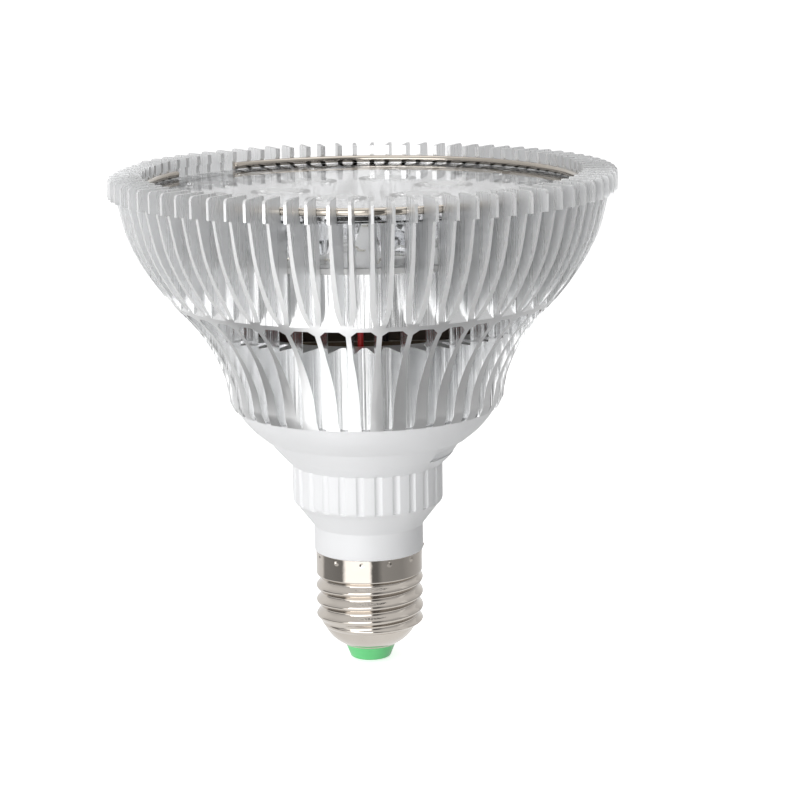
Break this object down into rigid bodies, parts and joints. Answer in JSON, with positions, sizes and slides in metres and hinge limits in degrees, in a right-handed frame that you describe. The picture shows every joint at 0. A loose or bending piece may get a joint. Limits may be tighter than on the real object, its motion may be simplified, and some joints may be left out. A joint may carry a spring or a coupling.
{
  "type": "grow light bulb",
  "caption": "Screw-base LED grow light bulb with a turned aluminium fin heat sink, a clear lens under a snap ring, and a white driver housing with a fluted collar.",
  "frame": {"origin": "tip of the centre contact, on the lamp's axis, at the middle of the box's lower face", "axes": "+Z along the lamp's axis from the contact to the lens; -Y towards the picture's camera; +X to the camera's right"},
  "size_m": [0.122, 0.122, 0.122],
  "materials": {
    "heat_sink": "bright, turned across the extrusion, uncoated",
    "snap_ring": "drawn spring wire",
    "lens": "clear moulded plastic, polished",
    "light_board": "white solder mask on aluminium",
    "white_diode": "clear dome over a phosphor",
    "red_diode": "clear dome over a red chip",
    "liner": "thin dark insulating film",
    "housing": "white moulding, satin",
    "screw_cap": "nickel plated brass sheet",
    "insulator": "green moulding",
    "contact": "solder",
    "circuit_board": "resin laminate",
    "transformer": "ferrite, with a yellow tape winding",
    "can": "sleeved can",
    "chip": "black moulding",
    "film_capacitor": "dipped",
    "choke": "wound ferrite",
    "red_lead": "insulated wire",
    "black_lead": "insulated wire"
  },
  "bodies": {
    "root": {"heat_sink": "heat_sink", "snap_ring": "snap_ring", "lens": "lens", "light_board": "light_board", "insulating_liner": "liner", "driver_housing": "housing", "screw_cap": "screw_cap", "base_insulator": "insulator", "centre_contact": "contact", "driver_board": "circuit_board", "transformer": "transformer", "output_capacitor": "can", "input_capacitor": "can", "bridge_rectifier": "chip", "control_chip": "chip", "power_transistor": "chip", "film_capacitor": "film_capacitor", "choke": "choke", "red_board_lead": "red_lead", "black_board_lead": "black_lead", "live_wire": "red_lead", "neutral_wire": "black_lead", "diode_01": "white_diode", "diode_02": "red_diode", "diode_03": "white_diode", "diode_04": "white_diode", "diode_05": "red_diode", "diode_06": "white_diode", "diode_07": "white_diode", "diode_08": "red_diode", "diode_09": "white_diode", "diode_10": "white_diode", "diode_11": "red_diode", "diode_12": "white_diode", "diode_13": "white_diode", "diode_14": "red_diode", "diode_15": "white_diode", "diode_16": "white_diode", "diode_17": "red_diode", "diode_18": "white_diode"}
  },
  "joints": []
}
